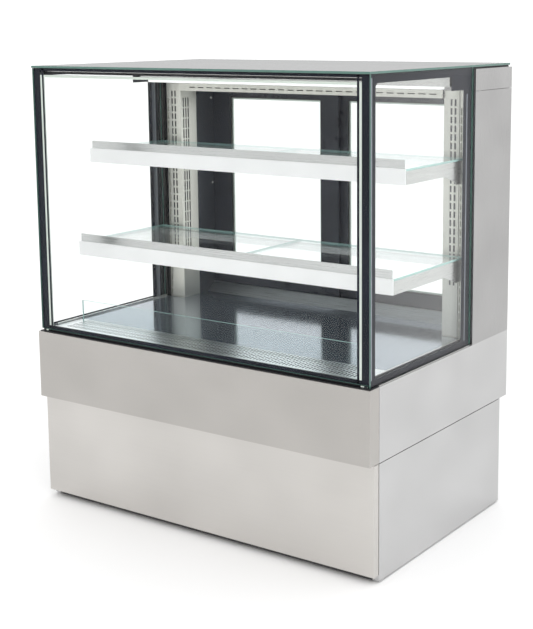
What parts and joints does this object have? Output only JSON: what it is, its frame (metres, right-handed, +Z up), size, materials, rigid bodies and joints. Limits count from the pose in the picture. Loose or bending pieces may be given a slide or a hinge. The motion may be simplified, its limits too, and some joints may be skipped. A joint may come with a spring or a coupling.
{
  "type": "refrigerated bakery display case",
  "caption": "Square glass refrigerated bakery display case with a stainless base, lit glass shelves, tilting front glass and sliding rear doors.",
  "frame": {"origin": "middle of the case's footprint at the floor", "axes": "+X to the customer's right along the case, +Y from the customer's side to the serving side at the rear, +Z up"},
  "size_m": [1.2, 0.8, 1.35],
  "materials": {
    "panel_steel": "brushed stainless sheet",
    "front_steel": "horizontally brushed stainless sheet",
    "column_steel": "satin stainless sheet",
    "deck_steel": "polished stainless sheet",
    "channel_steel": "bright stainless channel",
    "liner_steel": "matt stainless sheet",
    "shelf_steel": "satin anodised rail",
    "bracket_steel": "satin stainless plate",
    "frame_metal": "zinc-plated and painted",
    "foot_metal": "black oxide",
    "foam": "foamed insulation between smooth skins",
    "black_seal": "black, matt",
    "side_glass": "clear",
    "front_pane": "clear",
    "top_pane": "pale grey, translucent",
    "shelf_glass": "clear with greenish edges",
    "door_glass": "clear",
    "spacer": "matt",
    "light_diffuser": "opal, lit",
    "door_frame": "black anodised",
    "compressor_black": "gloss black",
    "coil_metal": "plain fins",
    "fan_black": "black",
    "fan_white": "white",
    "control_black": "black, fine texture",
    "switch_plastic": "pale grey"
  },
  "bodies": {
    "cabinet": {"base_frame": "frame_metal", "base_sides": "panel_steel", "base_front_panel": "front_steel", "base_rear_panel": "panel_steel", "levelling_feet": "foot_metal", "insulated_tank": "foam", "apron_front": "front_steel", "apron_sides": "panel_steel", "apron_rear": "panel_steel", "deck_left": "deck_steel", "deck_right": "deck_steel", "air_return_grille": "deck_steel", "rear_sill": "deck_steel", "glass_channels": "channel_steel", "glass_riser": "shelf_glass", "front_sill": "black_seal", "side_glass_left": "side_glass", "side_glass_right": "side_glass", "side_spacers": "spacer", "top_glass": "top_pane", "top_seal": "black_seal", "front_top_rail": "channel_steel", "front_top_seal": "black_seal", "rear_column_left": "column_steel", "rear_column_right": "column_steel", "air_column_left": "liner_steel", "air_column_right": "liner_steel", "shelf_posts": "liner_steel", "header_shell": "column_steel", "header_end_caps": "column_steel", "light_canopy": "channel_steel", "canopy_led": "light_diffuser", "air_outlet_panel": "liner_steel", "door_jambs": "door_frame", "door_top_track": "door_frame", "door_bottom_track": "door_frame", "upper_shelf_rail": "shelf_steel", "upper_shelf_brackets": "bracket_steel", "upper_shelf_glass": "shelf_glass", "upper_shelf_led": "light_diffuser", "lower_shelf_rail": "shelf_steel", "lower_shelf_brackets": "bracket_steel", "lower_shelf_glass": "shelf_glass", "lower_shelf_led": "light_diffuser", "compressor": "compressor_black", "condenser": "coil_metal", "evaporator": "coil_metal", "controller": "control_black", "power_inlet": "control_black"},
    "front_glass_panel": {"front_glass": "front_pane", "front_glass_frame": "spacer"},
    "left_door": {"door_left": "door_frame", "door_left_glass": "door_glass"},
    "right_door": {"door_right": "door_frame", "door_right_glass": "door_glass"},
    "condenser_fan": {"condenser_fan": "fan_black"},
    "left_evaporator_fan": {"evaporator_fan_left": "fan_white"},
    "right_evaporator_fan": {"evaporator_fan_right": "fan_white"},
    "light_switch": {"light_switch": "switch_plastic"},
    "set_button": {"set_button": "switch_plastic"}
  },
  "joints": [
    {"name": "front_glass_tilt", "type": "hinge", "parent": "cabinet", "child": "front_glass_panel", "pos_m": [0, -0.388, 0.543], "axis": [1, 0, 0], "range_deg": [0, 40]},
    {"name": "left_door_slide", "type": "slide", "parent": "cabinet", "child": "left_door", "axis": [1, 0, 0], "range_m": [0, 0.44]},
    {"name": "right_door_slide", "type": "slide", "parent": "cabinet", "child": "right_door", "axis": [1, 0, 0], "range_m": [-0.44, 0]},
    {"name": "condenser_fan_spin", "type": "hinge", "parent": "cabinet", "child": "condenser_fan", "pos_m": [-0.3, 0.2, 0.18], "axis": [0, 1, 0], "continuous": true},
    {"name": "left_evaporator_fan_spin", "type": "hinge", "parent": "cabinet", "child": "left_evaporator_fan", "pos_m": [-0.2, 0.11, 0.455], "axis": [0, 1, 0], "continuous": true},
    {"name": "right_evaporator_fan_spin", "type": "hinge", "parent": "cabinet", "child": "right_evaporator_fan", "pos_m": [0.2, 0.11, 0.455], "axis": [0, 1, 0], "continuous": true},
    {"name": "light_switch_rock", "type": "hinge", "parent": "cabinet", "child": "light_switch", "pos_m": [0.421, 0.37, 0.278], "axis": [1, 0, 0], "range_deg": [-8, 8]},
    {"name": "set_button_press", "type": "slide", "parent": "cabinet", "child": "set_button", "axis": [0, -1, 0], "range_m": [0, 0.0015], "stiffness_N_per_m": 300}
  ]
}
